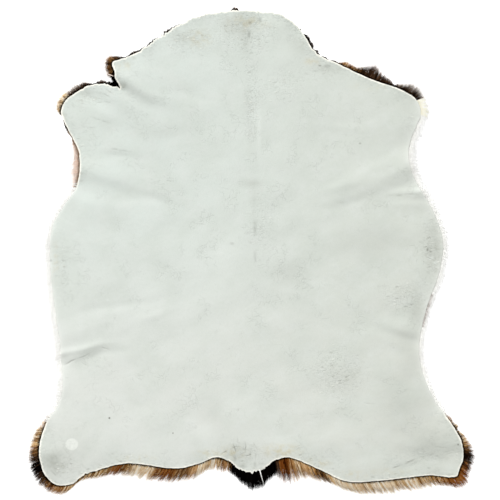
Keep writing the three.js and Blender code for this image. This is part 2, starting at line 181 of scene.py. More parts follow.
# The coat round the cut edge, anticlockwise from the neck: a place on the edge, how far the hair reaches
# past it, its kind, and how ragged the cut is there if not the usual 0.3
Fringe = namedtuple("Fringe", "x y reach hair ragged", defaults=[0.3])
FRINGES = [Fringe(*row) for row in [
    (70, 466, 0, "umber", 0.6), (20, 479, 0, "umber", 0.9), (-26, 482, 0, "umber", 0.9),
    (-29, 482, 3, "brown", 0.9), (-38, 482, 4.4, "umber", 0.9), (-48, 481, 3, "brown", 0.9),
    (-51, 481, 0, "umber", 0.9), (-128, 459, 0, "umber", 1.0), (-140, 455, 3.6, "umber", 1.3),
    (-156, 446, 1.6, "umber", 1.4), (-172, 437, 4.4, "umber", 1.4), (-186, 428, 1.8, "umber", 1.5),
    (-200, 419, 5, "umber", 1.5), (-213, 410, 2.2, "umber", 1.4), (-226, 400, 5.4, "umber", 1.3),
    (-240, 392, 3, "umber", 1.2), (-255, 384, 7, "umber", 1.0), (-272, 377, 16, "brown"),
    # the black hair at (-275, 345), (-265, 328) and (-280, 333) fills the pleat's slot as painted shadow
    (-277, 364, 17, "brown"), (-277, 353, 12, "umber"), (-275, 345, 8, "black"),
    (-265, 328, 7, "black"), (-280, 333, 11, "black", 0.5), (-296, 335, 6, "umber", 1.0),
    (-316, 333, 6, "umber", 1.0), (-330, 330, 10, "umber", 0.5), (-346, 322, 15, "smoke"),
    (-358, 315, 15, "smoke"), (-366, 308, 15, "fawn"), (-376, 297, 14, "oat"), (-381, 284, 10, "oat"),
    # the short dark hair at (-372, 255) is a painted shadow line under the cut edge
    (-381, 272, 3, "buff"), (-372, 255, 2, "umber"), (-362, 234, 4, "buff"), (-350, 210, 11, "buff"),
    (-345, 186, 18, "buff"), (-344, 166, 19, "buff"), (-350, 140, 14, "buff"),
    (-357, 120, 12, "white", 0.4), (-378, 88, 15, "white", 0.4), (-404, -4, 19, "white", 0.5),
    (-390, -140, 21, "white", 0.4), (-376, -268, 21, "white"), (-390, -312, 14, "white"),
    (-402, -328, 11, "white"), (-410, -344, 10, "buff"), (-416, -358, 15, "oat"),
    (-420, -370, 19, "oat"), (-423, -381, 21, "fawn"), (-425, -392, 22, "ginger"),
    (-425, -402, 22, "brown"), (-423, -414, 23, "umber"), (-420, -428, 24, "black"),
    (-414, -443, 22, "umber"), (-407, -453, 20, "brown"), (-396, -463, 22, "ginger"),
    (-376, -468, 23, "ginger"), (-362, -466, 20, "fawn", 0.4), (-345, -455, 16, "fawn", 0.8),
    (-330, -445, 18, "fawn", 0.6), (-300, -435, 23, "fawn", 0.4), (-280, -430, 26, "brown"),
    (-262, -426, 28, "rust"), (-246, -424, 31, "fawn"), (-226, -425, 32, "oat"),
    (-200, -428, 33, "oat"), (-180, -431, 33, "ginger"), (-164, -433, 33, "rust"),
    (-148, -434, 34, "ginger"), (-130, -431, 34, "brown"), (-112, -426, 32, "ginger"),
    (-98, -421, 31, "oat"), (-72, -411, 29, "oat"), (-62, -411, 28, "fawn", 0.4),
    (-52, -416, 24, "ginger", 0.6), (-44, -421, 21, "brown", 0.8), (-38, -427, 20, "black", 1.2),
    (-30, -432, 21, "black", 1.6), (-8, -440, 34, "black", 2.0), (6, -441, 39, "black", 2.0),
    (16, -439, 34, "black", 1.6), (30, -429, 29, "black", 0.6), (44, -419, 32, "black"),
    (51, -415, 37, "umber"), (57, -413, 53, "rust"), (66, -411, 55, "rust"), (74, -411, 50, "ginger"),
    (86, -413, 42, "fawn"), (104, -422, 36, "ginger"), (120, -430, 33, "fawn"),
    (136, -437, 31, "brown"), (150, -444, 30, "fawn"), (164, -450, 30, "oat"), (190, -460, 30, "oat"),
    (240, -459, 33, "oat"), (300, -454, 32, "oat"), (352, -448, 29, "fawn"), (384, -449, 24, "ginger"),
    (408, -449, 27, "rust"), (418, -436, 24, "rust"), (424, -418, 23, "umber"),
    (425, -404, 22, "umber"), (422, -390, 19, "brown"), (415, -370, 11, "fawn"), (404, -350, 7, "oat"),
    (392, -332, 7, "buff"), (378, -314, 9, "white"), (350, -262, 13, "white"), (335, -184, 14, "white"),
    # the last three rows on the next line are white hair with a painted shadow line at the root
    (338, -150, 13, "white"), (340, -144, 13, "white_shadow_root"), (350, -112, 13, "white_shadow_root"), (358, -88, 14, "white_shadow_root"),
    (361, -80, 15, "white", 0.4), (382, 20, 15, "white", 0.6), (362, 82, 17, "white", 0.4),
    (328, 140, 20, "white", 0.4), (310, 196, 21, "white", 0.4), (322, 234, 20, "white", 0.4),
    (336, 268, 20, "white", 0.4), (340, 286, 20, "cream"), (332, 301, 19, "cream"),
    (327, 306, 19, "smoke"), (312, 317, 25, "smoke"), (298, 324, 16, "smoke"),
    (284, 330, 6, "umber", 0.4), (270, 335, 15, "umber"), (252, 341, 18, "umber"),
    (236, 346, 32, "umber"), (222, 351, 24, "umber"), (206, 357, 14, "brown"), (188, 367, 9, "ginger"),
    (172, 376, 5, "ginger"), (156, 384, 2.5, "umber", 0.4), (136, 393, 3, "umber", 0.8),
    (127, 399, 6, "umber", 1.0), (118, 413, 4.2, "umber", 0.6), (104, 434, 3.4, "umber", 0.5),
    (97, 445, 2.6, "umber", 0.5), (92, 450, 0, "umber", 0.5),
]]

# Lone pale locks that lie over darker hair: from, to, height over the floor, kind, hairs
Lone = namedtuple("Lone", "start end height hair count")
LONE_LOCKS = [
    Lone((15, -436), (25, -473), 9.5, "white", 34),
    Lone((-276, 350), (-297, 359), 14, "buff", 16),
]

# Strands of the fringe, which stand in clumps
Clumps = namedtuple("Clumps", "arc kind stray length shade lift")
CLUMP_SPACING = 1.2
CLUMP_STRAY = 0.07  # how far a clump leans aside, as a share of its length
HAIR_STRAY = 0.06  # and each of its hairs
CLUMP_LENGTH = (0.9, 1.08)
CLUMP_LIFT = (0.4, 1.3)
CLUMP_WIDTH = 0.85 * CLUMP_SPACING
CLUMP_CLOSING = 0.3  # how far the tips of a clump draw together
SHORTEST_REACH = 1.2
FULL_SHARE = 0.45  # the share of hairs that reach the whole way
FULL_LENGTH = (0.97, 0.11, 1.45)  # their lengths as shares of the reach: the least, the spread, the most
SHORT_LENGTH = (0.55, 0.97)  # and those of the others
EXIT_SHARE = 0.35  # how far past the edge the middle of a hair is, as a share of its length
ROOT_FLOOR, EXIT_FLOOR, TIP_FLOOR = 0.6, 0.5, 0.4  # least heights of its root, middle and tip
EXIT_SINK = 0.85  # how high the middle is beside the root
TIP_LIFT = (0.16, 0.4, 3.4)  # the rise of a tip: its share of the length, the least and the most
DARK_LEVEL = (1.7, 1.1)  # spread of the heights of dark hairs in the coat
PALE_LEVEL = (0.7, 1.0)  # pale ones are near its top
PALE_TIP = 0.55  # and their tips this share of the way up
LOWEST_STRAND = 0.33
FEWEST_STRANDS = 20  # a kind with fewer on one side is left out there
SKIN_GAP = 0.4  # between the skin and the hair under it
STRAND_POINTS = 4
STRAND_TIP_RADIUS = 0.04
ROOT_INSET = (2.0, 11.0)
ROOT_DARK_AND_SHADOW = (2.0, 6.6)  # the dark root, partly painted shadow under the cut edge, ends this far past the edge
COMB = (0.45, 0.75)  # facing this far backwards, hair turns to lie straight back
LEAN = 0.35  # how far hair at the flanks leans back
FAN = (0.62, 110.0)  # at the rump it spreads from the tail: the widest turn, and how soon it gets there
HAIR_TURN = 12.0  # round a corner of the edge hair turns over this length

# The coat under the skin
BODY_INSET = 4.0
BODY_GRAIN = 12.0
BODY_FLOOR = 3.2
TUFT_SPACING = (12.0, 17.0)
TUFT_LENGTH = 62.0
TUFT_WIDTH = 7.5
TUFT_THICKNESS = 1.3
TUFT_FAN = 0.0009  # how far a tuft turns outwards, in radians for each millimetre off the spine
BELLY_REACH = 60.0  # how far in from a white flank the coat is white

# The photograph's frame: pixels across, and the rug's size in it
FRAME_PIXELS = 500
MM_PER_PIXEL = 2.0
FRAME_CENTRE = (-4.0, 3.0)
CAMERA_HEIGHT = 2600.0  # over the level of the skin
SKIN_LEVEL = 10.0
SENSOR = 36.0

random = np.random.default_rng(SEED)


# The solids, read from the frame

def welded(node):
    """A node's vertices with no doubles, in millimetres, and its triangles."""
    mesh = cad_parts[node].data
    mesh.calc_loop_triangles()
    places = np.empty(len(mesh.vertices) * 3)
    mesh.vertices.foreach_get("co", places)
    corners = np.empty(len(mesh.loop_triangles) * 3, dtype=np.int32)
    mesh.loop_triangles.foreach_get("vertices", corners)
    unique, where = np.unique(np.round(places.reshape(-1, 3) / MM, 2), axis=0, return_inverse=True)
    return unique, where.ravel()[corners].reshape(-1, 3)


def sides(triangles):
    """The sides of triangles, each with its direction."""
    return {(int(t[k]), int(t[(k + 1) % 3])) for t in triangles for k in range(3)}


def cut_edge(places, triangles):
    """The skin's upper rim as (x, y), in order, anticlockwise from the neck."""
    a, b, c = (places[triangles[:, k]] for k in range(3))
    normals = np.cross(b - a, c - a)
    steep = normals[:, 2] / np.linalg.norm(normals, axis=1)
    walls = sides(triangles[np.abs(steep) < 0.05])
    following = {i: j for i, j in sides(triangles[steep > 0.2]) if (j, i) in walls}
    here = max(following, key=lambda i: places[i][1])
    loop = [here]
    while following[loop[-1]] != here:
        loop.append(following[loop[-1]])
    return places[loop][:, :2]


def smooth_loop(points, steps):
    """A closed smooth curve through points, with this many points for each."""
    before, after, beyond = np.roll(points, 1, 0), np.roll(points, -1, 0), np.roll(points, -2, 0)
    t = (np.arange(steps) / steps)[None, :, None]
    p0, p1, p2, p3 = (p[:, None, :] for p in (before, points, after, beyond))
    curve = p1 + 0.5 * t * (p2 - p0 + t * (2 * p0 - 5 * p1 + 4 * p2 - p3 + t * (3 * (p1 - p2) + p3 - p0)))
    return curve.reshape(-1, 2)


def unit(vectors):
    """Vectors made one long."""
    return vectors / np.linalg.norm(vectors, axis=-1, keepdims=True)


def tree_of(points):
    """A search tree of points on the floor."""
    tree = kdtree.KDTree(len(points))
    for index, place in enumerate(points):
        tree.insert((*place, 0), index)
    tree.balance()
    return tree


def outward(loop):
    """Unit directions out of a closed anticlockwise loop."""
    along = unit(np.roll(loop, -1, 0) - np.roll(loop, 1, 0))
    return np.stack([along[:, 1], -along[:, 0]], axis=1)


def arc_lengths(loop):
    """How far along the loop each of its points is, and the loop's whole length."""
    steps = np.linalg.norm(np.roll(loop, -1, 0) - loop, axis=1)
    return np.concatenate([[0], np.cumsum(steps)[:-1]]), steps.sum()


def softened(grid):
    """A grid of heights with its small steps smoothed away."""
    reach = int(3 * FOLD_SOFTENING / HEIGHT_GRID)
    weights = [math.exp(-0.5 * (k * HEIGHT_GRID / FOLD_SOFTENING) ** 2) for k in range(-reach, reach + 1)]
    for axis in (0, 1):
        grid = sum(w * np.roll(grid, k - reach, axis) for k, w in enumerate(weights)) / sum(weights)
    return grid


class HeightField:
    """Heights of a solid's upper side on a grid, softened, that can be asked for anywhere near it."""

    def __init__(self, places, triangles):
        low, high = places.min(0)[:2] - 30, places.max(0)[:2] + 30
        self.low = low
        self.xs = np.arange(low[0], high[0], HEIGHT_GRID)
        self.ys = np.arange(low[1], high[1], HEIGHT_GRID)
        tree = BVHTree.FromPolygons([Vector(p) for p in places], triangles.tolist())
        down = Vector((0, 0, -1))
        heights = np.zeros((len(self.xs), len(self.ys)))
        inside = np.zeros_like(heights)
        for i, x in enumerate(self.xs):
            for j, y in enumerate(self.ys):
                hit = tree.ray_cast(Vector((x, y, 100.0)), down)[0]
                if hit is not None:
                    heights[i, j] = hit.z
                    inside[i, j] = 1
        near = softened(inside)
        self.heights = np.where(near > 1e-6, softened(heights) / np.maximum(near, 1e-6), 0)
        self.spread(near)

    def spread(self, near):
        """Carries the rim's heights out past it."""
        known = near > 0.02
        for _ in range(12):
            total, count = np.zeros_like(self.heights), np.zeros_like(self.heights)
            for axis, step in ((0, 1), (0, -1), (1, 1), (1, -1)):
                total += np.roll(self.heights * known, step, axis)
                count += np.roll(known, step, axis)
            fresh = ~known & (count > 0)
            self.heights[fresh] = total[fresh] / count[fresh]
            known = known | fresh

    def at(self, x, y):
        u = np.clip((x - self.low[0]) / HEIGHT_GRID, 0, len(self.xs) - 1.001)
        v = np.clip((y - self.low[1]) / HEIGHT_GRID, 0, len(self.ys) - 1.001)
        i, j = u.astype(int), v.astype(int)
        u, v = u - i, v - j
        h = self.heights
        lower = h[i, j] * (1 - u) + h[i + 1, j] * u
        upper = h[i, j + 1] * (1 - u) + h[i + 1, j + 1] * u
        return lower * (1 - v) + upper * v


# The cut edge and what grows along it

def places_along(loop, arcs, rows):
    """How far along the loop each row's place is, with the row numbers in that order."""
    near = [arcs[np.argmin((loop[:, 0] - r.x) ** 2 + (loop[:, 1] - r.y) ** 2)] for r in rows]
    order = np.argsort(near)
    return np.array(near)[order], order


def along_the_edge(arc, column):
    """A column of FRINGES at any distance along the edge."""
    values = np.array([getattr(FRINGES[k], column) for k in row_order], dtype=float)
    return np.interp(arc, row_arcs, values, period=perimeter)


def hair_kinds(arc, chance):
    """The kind of hair at each distance along the edge: the row before or after it, by chance."""
    names = np.array([FRINGES[k].hair for k in row_order])
    after = np.searchsorted(row_arcs, arc) % len(names)
    before = (after - 1) % len(names)
    gap = (row_arcs[after] - row_arcs[before]) % perimeter
    share = ((arc - row_arcs[before]) % perimeter) / np.maximum(gap, 1e-6)
    return np.where(chance < share, names[after], names[before])


def loop_noise(arc, shortest, longest, count, seed):
    """An uneven wave along the closed edge, about -1 to 1."""
    pick = np.random.default_rng(seed)
    turns = np.round(perimeter / pick.uniform(shortest, longest, count))
    phases = pick.uniform(0, 2 * math.pi, count)
    waves = np.sin(2 * math.pi * turns[:, None] * arc[None, :] / perimeter + phases[:, None])
    return waves.sum(0) / math.sqrt(count)


def plane_waves(x, y, shortest, longest, seed, count=24):
    """A soft uneven field over the floor, about -1 to 1."""
    pick = np.random.default_rng(seed)
    lengths = pick.uniform(shortest, longest, count)
    ways = pick.uniform(0, 2 * math.pi, count)
    phases = pick.uniform(0, 2 * math.pi, count)
    total = np.zeros_like(x)
    for length, way, phase in zip(lengths, ways, phases):
        total += np.sin(2 * math.pi * (x * math.cos(way) + y * math.sin(way)) / length + phase)
    return total / math.sqrt(count)


def smoothstep(value, low, high):
    """0 below low and 1 above high, softly."""
    t = np.clip((value - low) / (high - low), 0, 1)
    return t * t * (3 - 2 * t)


def nudged(points):
    """Points of the edge after every nudge near them."""
    moved = points.copy()
    for row in NUDGES:
        away = np.hypot(points[:, 0] - row.x, points[:, 1] - row.y)
        moved += np.exp(-((away / row.reach) ** 2))[:, None] * np.array([row.dx, row.dy])
    return moved


def slot_gap(points):
    """How far points near the pleat's slot are pushed off its middle."""
    start, end = np.array(SLOT.start, float), np.array(SLOT.end, float)
    way = (end - start) / np.linalg.norm(end - start)
    across = np.array([-way[1], way[0]])
    share = (points - start) @ way / np.linalg.norm(end - start)
    off = (points - start) @ across
    push = SLOT.open * np.exp(-((off / SLOT.reach) ** 2))
    push = push * smoothstep(share, -0.9, 0) * (1 - smoothstep(share, 0.55, 1.05))
    return across * (np.tanh(off / 0.8) * push)[:, None]


skin_places, skin_triangles = welded("skin")
clean_rim = nudged(smooth_loop(cut_edge(skin_places, skin_triangles), RIM_STEPS))
rim_arcs, perimeter = arc_lengths(clean_rim)
row_arcs, row_order = places_along(clean_rim, rim_arcs, FRINGES)
rim_out = outward(clean_rim)
tatters = loop_noise(rim_arcs, 9, 45, 30, 3) + 0.6 * loop_noise(rim_arcs, 4.5, 9, 30, 4)
rim = clean_rim + rim_out * (along_the_edge(rim_arcs, "ragged") * tatters)[:, None] + slot_gap(clean_rim)
skin_field = HeightField(skin_places, skin_triangles)
rim_tree = tree_of(rim)


def at_edge(arc, values):
    """A value of the rim's points at any distance along the edge."""
    return np.interp(arc, rim_arcs, values, period=perimeter)


def places_at_edge(arc, places):
    """The same for (x, y)."""
    return np.stack([at_edge(arc, places[:, k]) for k in (0, 1)], axis=1)


def rim_inset(depth):
    """The cut edge moved inwards."""
    return rim - rim_out * depth


def from_the_edge(points):
    """Distance to the cut edge and the number of the nearest rim point, for each of many points."""
    found = [rim_tree.find((x, y, 0)) for x, y in points]
    return np.array([f[2] for f in found]), np.array([f[1] for f in found])


def inside_loop(points, loop):
    """Which points lie inside a closed loop."""
    inside = np.zeros(len(points), dtype=bool)
    x, y = points[:, 0], points[:, 1]
    for (x0, y0), (x1, y1) in zip(loop, np.roll(loop, -1, 0)):
        if y0 != y1:
            crosses = (y0 > y) != (y1 > y)
            inside ^= crosses & (x < (x1 - x0) * (y - y0) / (y1 - y0) + x0)
    return inside


def staggered_grid(spacing):
    """Points of a triangular grid over the rug's box."""
    low, high = rim.min(0), rim.max(0)
    rows = np.arange(low[1], high[1], spacing * math.sqrt(3) / 2)
    columns = np.arange(low[0], high[0], spacing)
    x, y = np.meshgrid(columns, rows)
    x[1::2] += spacing / 2
    return np.stack([x.ravel(), y.ravel()], axis=1)


def filled(loop, spacing, clear, extra=None):
    """Points and triangles of a flat sheet inside a loop, whose points come first and keep their numbers."""
    grid = staggered_grid(spacing)
    if extra is not None:
        tree = tree_of(extra)
        apart = np.array([tree.find((x, y, 0))[2] for x, y in grid])
        grid = np.concatenate([extra, grid[apart > 0.6 * spacing]])
    grid = grid[inside_loop(grid, loop)]
    grid = grid[from_the_edge(grid)[0] > clear]
    points = [Vector(p) for p in (*loop, *grid)]
    count = len(loop)
    edges = [(i, (i + 1) % count) for i in range(count)]
    _, _, faces, sources, _, _ = geometry.delaunay_2d_cdt(points, edges, [], 1, 1e-4)
    number = [source[0] for source in sources]
    triangles = np.array([[number[k] for k in face] for face in faces])
    return np.array([[p.x, p.y] for p in points]), triangles


def crease_lift(crease, x, y):
    """How far one crease lifts the skin."""
    nodes = np.array(crease.points, dtype=float)
    lengths = np.linalg.norm(np.diff(nodes, axis=0), axis=1)
    starts = np.concatenate([[0], np.cumsum(lengths)]) / lengths.sum()
    nearest, place = np.full(x.shape, 1e9), np.zeros(x.shape)
    for k, length in enumerate(lengths):
        way = (nodes[k + 1] - nodes[k]) / length
        t = np.clip((x - nodes[k][0]) * way[0] + (y - nodes[k][1]) * way[1], 0, length)
        off = np.hypot(x - nodes[k][0] - t * way[0], y - nodes[k][1] - t * way[1])
        closer = off < nearest
        nearest[closer] = off[closer]
        place[closer] = (starts[k] + t / lengths.sum())[closer]
    fade = 1 - smoothstep(place, 0.3, 1)
    if crease.fades == "both":
        fade = fade * smoothstep(place, 0, 0.3)
    return crease.height * fade * np.exp(-((nearest / crease.width) ** 2))


def stroke_points():
    """Close rows of points along every fine wrinkle."""
    places = []
    for row in STROKES:
        start, end = np.array([row.x, row.y], float), np.array([row.to_x, row.to_y], float)
        length = np.linalg.norm(end - start)
        way = (end - start) / length
        across = np.array([-way[1], way[0]])
        along = np.arange(0, length, STROKE_GRAIN)
        for off in STROKE_ROWS:
            places.append(start + along[:, None] * way + across * off * row.half)
    return np.concatenate(places)


def stroke_depth(x, y):
    """How deep the fine wrinkles are."""
    waver = STROKE_WAVER * plane_waves(x, y, 14, 50, 51)
    uneven = np.clip(0.75 + 0.5 * plane_waves(x, y, 8, 30, 52), 0, 1.2)
    total = np.zeros_like(x)
    for row in STROKES:
        length = math.hypot(row.to_x - row.x, row.to_y - row.y)
        way = ((row.to_x - row.x) / length, (row.to_y - row.y) / length)
        along = (x - row.x) * way[0] + (y - row.y) * way[1]
        off = (y - row.y) * way[0] - (x - row.x) * way[1] + waver
        ends = smoothstep(along, 0, 0.4 * length) * (1 - smoothstep(along, 0.6 * length, length))
        total += row.depth * ends * np.exp(-((off / (0.6 * row.half)) ** 2))
    return total * uneven


def skin_height(points, distance, nearest):
    """Height of the skin's upper side over the floor."""
    x, y = points[:, 0], points[:, 1]
    height = skin_field.at(x, y)
    for crease in CREASES:
        height = height + crease_lift(crease, x, y)
    for seed, (shortest, longest, rise) in enumerate(SKIN_WAVES):
        height = height + rise * plane_waves(x, y, shortest, longest, 40 + seed)
    height = height - stroke_depth(x, y)
    curl = loop_noise(rim_arcs, 50, 160, 16, 8)[nearest] * np.exp(-distance / EDGE_CURL_DEPTH)
    return np.maximum(height + EDGE_CURL * curl, SKIN_THICKNESS + LEAST_COAT)


# Shader maths

class Wire:
    """A socket of a material's nodes. Sums and products are Math nodes, and node() adds any other."""

    def __init__(self, tree, socket=None):
        self.tree = tree
        self.socket = socket

    def node(self, kind, settings=None, sockets=None, output=0):
        made = self.tree.nodes.new(kind)
        for name, value in (settings or {}).items():
            if name == "stops":
                set_stops(made.color_ramp, value)
            else:
                setattr(made, name, value)
        feed(made, sockets or {})
        return Wire(self.tree, made.outputs[output])

    def math(self, operation, first, second=0.0):
        return self.node("ShaderNodeMath", {"operation": operation}, {0: first, 1: second})

    def __add__(self, other):
        return self.math("ADD", self, other)

    __radd__ = __add__

    def __sub__(self, other):
        return self.math("SUBTRACT", self, other)

    def __rsub__(self, other):
        return self.math("SUBTRACT", other, self)

    def __mul__(self, other):
        return self.math("MULTIPLY", self, other)

    __rmul__ = __mul__

    def __truediv__(self, other):
        return self.math("DIVIDE", self, other)

    def larger(self, other):
        return self.math("MAXIMUM", self, other)

    def smaller(self, other):
        return self.math("MINIMUM", self, other)

    def line(self, level, half):
        """1 where this wire passes a level and 0 a little off it."""
        return 1 - self.math("ABSOLUTE", self - level).step(0.0, half)

    def step(self, low, high):
        """0 below low and 1 above high, softly."""
        return self.node("ShaderNodeMapRange", {"interpolation_type": "SMOOTHSTEP"},
                         {"Value": self, "From Min": low, "From Max": high})

    def mix(self, base, tint):
        """base where this wire is 0, tint where it is 1."""
        return self.node("ShaderNodeMix", {"data_type": "RGBA"}, {0: self, 6: base, 7: tint}, 2)

    def ramp(self, stops):
        return self.node("ShaderNodeValToRGB", {"stops": stops}, {0: self})

    def attribute(self, name):
        return self.node("ShaderNodeAttribute", {"attribute_name": name}, output="Fac")

    def place(self):
        """Where a point of the surface is, in millimetres."""
        where = self.node("ShaderNodeTexCoord", output="Object")
        return self.node("ShaderNodeVectorMath", {"operation": "SCALE"}, {0: where, "Scale": 1 / MM})

    def stretched(self, x, y, z=1.0):
        return self.node("ShaderNodeVectorMath", {"operation": "MULTIPLY"}, {0: self, 1: (x, y, z)})

    def noise(self, size, detail=2.0, roughness=0.5, distortion=0.0):
        """Noise from 0 to 1 at a place, with features of this size."""
        return self.node("ShaderNodeTexNoise", None, {
            "Vector": self, "Scale": 1 / size, "Detail": detail,
            "Roughness": roughness, "Distortion": distortion})

    def flecks(self, size, bare):
        """Small specks in some of the cells of this size: bare is the share of cells without."""
        sockets = {"Vector": self, "Scale": 1 / size}
        away = self.node("ShaderNodeTexVoronoi", None, sockets, "Distance")
        chance = self.node("ShaderNodeTexVoronoi", None, sockets, "Color").axis(0)
        return (1 - away.step(0.06, 0.3)) * chance.step(bare, bare + 0.2)

    def wavy(self, size, amount):
        """A place moved about, by up to half the amount each way."""
        shift = self.node("ShaderNodeTexNoise", None, {"Vector": self, "Scale": 1 / size}, "Color")
        shift = self.node("ShaderNodeVectorMath", {"operation": "MULTIPLY_ADD"},
                          {0: shift, 1: (amount, amount, 0), 2: (-amount / 2, -amount / 2, 0)})
        return self.node("ShaderNodeVectorMath", {"operation": "ADD"}, {0: self, 1: shift})

    def axis(self, number):
        return self.node("ShaderNodeSeparateXYZ", None, {0: self}, number)

    def spot(self, x, y, wide, long=None, hard=0.0):
        """1 at a place and 0 past an oval round it."""
        flat = self.node("ShaderNodeVectorMath", {"operation": "SUBTRACT"}, {0: self, 1: (x, y, 0)})
        oval = flat.stretched(1 / wide, 1 / (long or wide), 0)
        away = oval.node("ShaderNodeVectorMath", {"operation": "LENGTH"}, {0: oval}, "Value")
        return 1 - away.step(hard, 1)


def set_stops(ramp, stops):
    while len(ramp.elements) < len(stops):
        ramp.elements.new(1.0)
    for element, (position, colour) in zip(ramp.elements, stops):
        element.position = position
        element.color = colour


def tone(red, green, blue):
    """A colour that is seen as these values from 0 to 255."""
    linear = [((v / 255 + 0.055) / 1.055) ** 2.4 if v > 10 else v / 255 / 12.92 for v in (red, green, blue)]
    return (*linear, 1.0)


def new_material(name):
    """A material, its shader node and a first wire."""
    material = bpy.data.materials.new(name)
    material.use_nodes = True
    return material, material.node_tree.nodes["Principled BSDF"], Wire(material.node_tree)


def feed(made, sockets):
    """Sets sockets of a node to wires or plain values."""
    for key, value in sockets.items():
        if isinstance(value, Wire):
            value.tree.links.new(value.socket, made.inputs[key])
        else:
            made.inputs[key].default_value = value


def relief(wire, height, strength, distance):
    """The normal of a surface with this height in it."""
    sockets = {"Height": height, "Strength": strength, "Distance": distance}
    return wire.node("ShaderNodeBump", None, sockets, "Normal")


# Marks on the suede: place, half width, half length, strength
Mark = namedtuple("Mark", "x y wide long strength")
# Grey stains; the mark at (-258, 331) is painted shade in the dip beside the neck pleat's slot, and the wide
# one at (345, -380) darkens the right hind corner
GREY_STAINS_AND_SHADE = [Mark(*row) for row in [
    (-24, 452, 60, 36, 0.6), (-14, 424, 20, 34, 0.35), (-130, 428, 60, 26, 0.4),
    (96, 412, 40, 30, 0.35), (146, 366, 46, 18, 0.4), (-398, -424, 34, 42, 0.6),
    (-30, -404, 52, 30, 0.5), (52, -404, 24, 16, 0.4), (-372, -402, 80, 80, 0.3),
    (312, -190, 40, 60, 0.3), (366, 10, 30, 84, 0.45), (330, -120, 26, 60, 0.35),
    (-258, 331, 15, 13, 0.7), (-340, 318, 30, 14, 0.5), (-180, 240, 90, 26, 0.2),
    (240, 20, 120, 60, 0.25), (70, -40, 60, 40, 0.2), (190, -260, 60, 50, 0.25),
    (300, -300, 90, 90, 0.3), (5, 120, 16, 120, 0.1), (-80, -320, 40, 60, 0.2), (0, 136, 40, 14, 0.3),
    (-10, 300, 16, 60, 0.15), (345, -380, 110, 70, 0.4),
]]
OCHRE_STAINS = [Mark(*row) for row in [
    (-106, 426, 40, 26, 0.4), (-8, 458, 60, 24, 0.4), (60, -398, 60, 22, 0.6), (130, -424, 40, 16, 0.5),
    (-40, -402, 44, 20, 0.5), (200, -446, 60, 14, 0.4), (-256, 370, 24, 14, 0.35),
    (-394, -20, 12, 60, 0.3), (120, 380, 24, 14, 0.5), (-230, -414, 60, 12, 0.35),
    (240, 330, 60, 14, 0.25), (-90, -404, 40, 14, 0.4), (280, -440, 60, 12, 0.3),
]]
# Pale patches; the strip at (14, 246) beside the spine and the band at (-318, 176) over the left waist are
# painted highlights on the lit sides of folds
PALE_PATCHES_AND_HIGHLIGHTS = [Mark(*row) for row in [
    (-230, 100, 70, 14, 0.35), (-288, -97, 5, 4, 0.8), (330, 124, 12, 8, 0.7), (358, -14, 12, 5, 0.9),
    (367, -22, 8, 5, 0.9), (-20, -300, 110, 50, 0.35), (-60, 0, 80, 60, 0.25), (14, 246, 7, 66, 0.7),
    (60, -376, 50, 20, 0.35), (-90, -360, 30, 30, 0.25), (140, -62, 50, 14, 0.35),
    (60, 60, 26, 20, 0.25), (-318, 176, 60, 12, 0.25), (236, 156, 60, 12, 0.25),
]]
DARK_FLECKS = [Mark(*row) for row in [
    (-285, -333, 3.0, 3.2, 1.1), (-158, -363, 2.4, 2.4, 0.9), (-403, -18, 4.5, 4, 0.6),
    (412, -386, 3, 3, 0.9), (-6, 434, 4, 12, 0.4), (16, 464, 5, 8, 0.4), (-4, 458, 6, 6, 0.4),
    (6, 44, 6, 20, 0.22), (4, 96, 6, 40, 0.05), (-40, 16, 7, 5, 0.3), (6, -10, 6, 20, 0.16),
    (-18, -430, 12, 5, 0.3), (-34, -414, 5, 10, 0.3), (6, -426, 5, 9, 0.3), (150, 371, 12, 6, 0.25),
    (351, 4, 4, 6, 0.6), (357, 0, 5, 3, 0.5), (136, 372, 5, 3, 0.5), (216, 216, 4, 3, 0.5),
]]
ROUGH_PATCHES = [Mark(*row) for row in [
    (-10, 440, 100, 70, 0.9), (0, 300, 24, 130, 0.7), (-130, 420, 90, 50, 0.7), (362, 10, 34, 100, 1.2),
    (-10, -412, 70, 44, 1.2), (306, -92, 80, 50, 0.8), (170, -240, 84, 84, 0.7),
    (150, 360, 80, 40, 0.6), (-380, -430, 50, 40, 0.7), (120, -420, 90, 30, 0.6),
    (-260, -414, 90, 24, 0.5), (-330, 310, 60, 30, 0.7), (320, 260, 50, 50, 0.5),
    (-380, -20, 24, 100, 0.5), (20, 60, 60, 120, 0.35), (60, 330, 70, 60, 0.5),
    (340, -410, 90, 30, 0.5),
]]
ROUND_MARK = Mark(-360, -385, 14.0, 13.0, 0.6)


def marks(points, rows):
    """How strong the marks of a list are at points of the skin."""
    total = np.zeros(len(points))
    for row in rows:
        away = np.hypot((points[:, 0] - row.x) / row.wide, (points[:, 1] - row.y) / row.long)
        total += row.strength * (1 - smoothstep(away, 0, 1))
    return total


def small_marks(at, rows):
    """The same for marks too small for the sheet's points."""
    total = 0.0
    for row in rows:
        total = at.spot(row.x, row.y, row.wide, row.long) * row.strength + total
    return total


